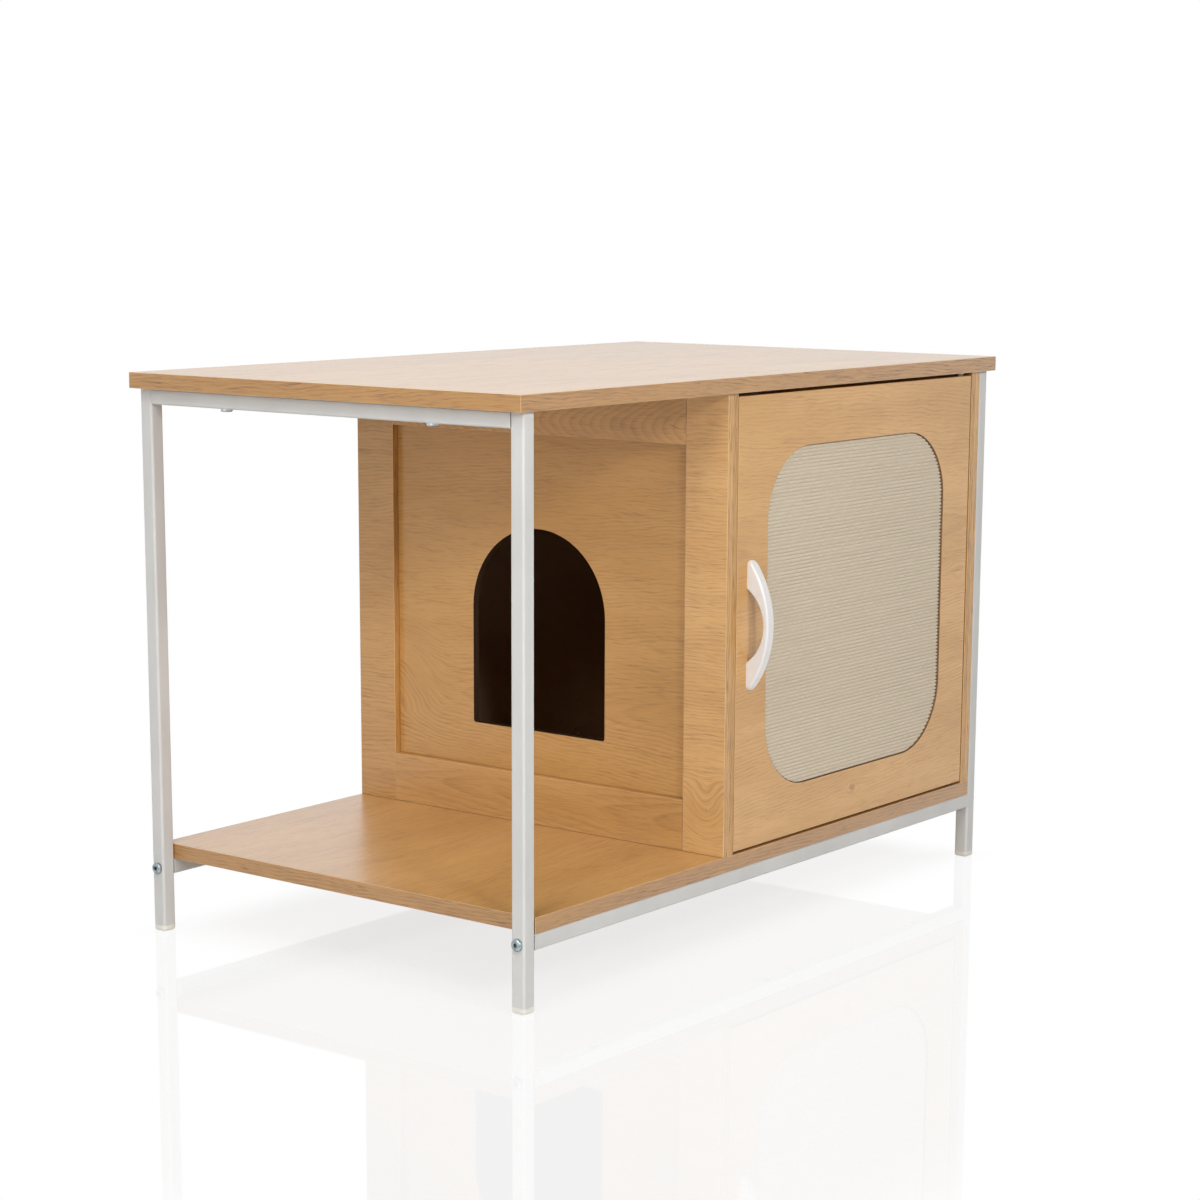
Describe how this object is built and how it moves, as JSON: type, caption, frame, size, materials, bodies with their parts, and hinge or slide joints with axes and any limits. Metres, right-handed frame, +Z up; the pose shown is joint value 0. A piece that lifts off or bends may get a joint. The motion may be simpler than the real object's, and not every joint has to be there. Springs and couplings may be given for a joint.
{
  "type": "cat house",
  "caption": "Side-table cat house on a square-tube frame: open bay, arched doorway into a cupboard, and a pivoting door with a ribbed scratch pad and bow handle.",
  "frame": {"origin": "middle of the feet's footprint, on the floor", "axes": "+X along the length towards the cupboard end, -Y to the front with the door, +Z up"},
  "size_m": [0.85, 0.531, 0.58],
  "materials": {
    "oak_laminate": "satin oak-pattern laminate on particle board",
    "backing_board": "plain hardboard",
    "frame_white": "white powder coat",
    "foot_cream": "moulded plastic",
    "sisal": "ribbed sisal weave",
    "handle_white": "satin-gloss moulded plastic",
    "zinc": "bright zinc plating",
    "nylon": "natural nylon",
    "magnet": "sintered ferrite"
  },
  "bodies": {
    "cabinet": {"tabletop": "oak_laminate", "bottom_board": "oak_laminate", "back_panel": "oak_laminate", "divider_panel": "oak_laminate", "side_panel": "oak_laminate", "divider_front_stile": "oak_laminate", "divider_rear_stile": "oak_laminate", "divider_top_rail": "oak_laminate", "divider_bottom_rail": "oak_laminate", "side_front_stile": "oak_laminate", "side_rear_stile": "oak_laminate", "side_top_rail": "oak_laminate", "side_bottom_rail": "oak_laminate", "left_front_leg": "frame_white", "left_rear_leg": "frame_white", "right_front_leg": "frame_white", "right_rear_leg": "frame_white", "left_top_bar": "frame_white", "right_top_bar": "frame_white", "front_rail": "frame_white", "rear_rail": "frame_white", "left_front_foot": "foot_cream", "left_rear_foot": "foot_cream", "right_front_foot": "foot_cream", "right_rear_foot": "foot_cream", "rail_bolts": "zinc", "tabletop_screws": "zinc", "bottom_board_screws": "zinc", "panel_screws": "zinc", "catch_screws": "zinc", "bracket_screws": "zinc", "corner_brackets": "zinc", "rail_end_nuts": "zinc", "catch_pole_plates": "zinc", "lower_hinge_bush": "nylon", "upper_hinge_bush": "nylon", "catch_housing": "nylon", "catch_magnet": "magnet"},
    "door": {"door_panel": "oak_laminate", "scratch_pad": "sisal", "pad_backing": "backing_board", "backing_screws": "zinc", "door_handle": "handle_white", "handle_screws": "zinc", "lower_hinge_pin": "zinc", "upper_hinge_pin": "zinc", "strike_plate": "zinc", "strike_screw": "zinc"}
  },
  "joints": [
    {"name": "door_hinge", "type": "hinge", "parent": "cabinet", "child": "door", "pos_m": [0.365, -0.2425, 0.32725], "axis": [0, 0, 1], "range_deg": [0, 110]}
  ]
}
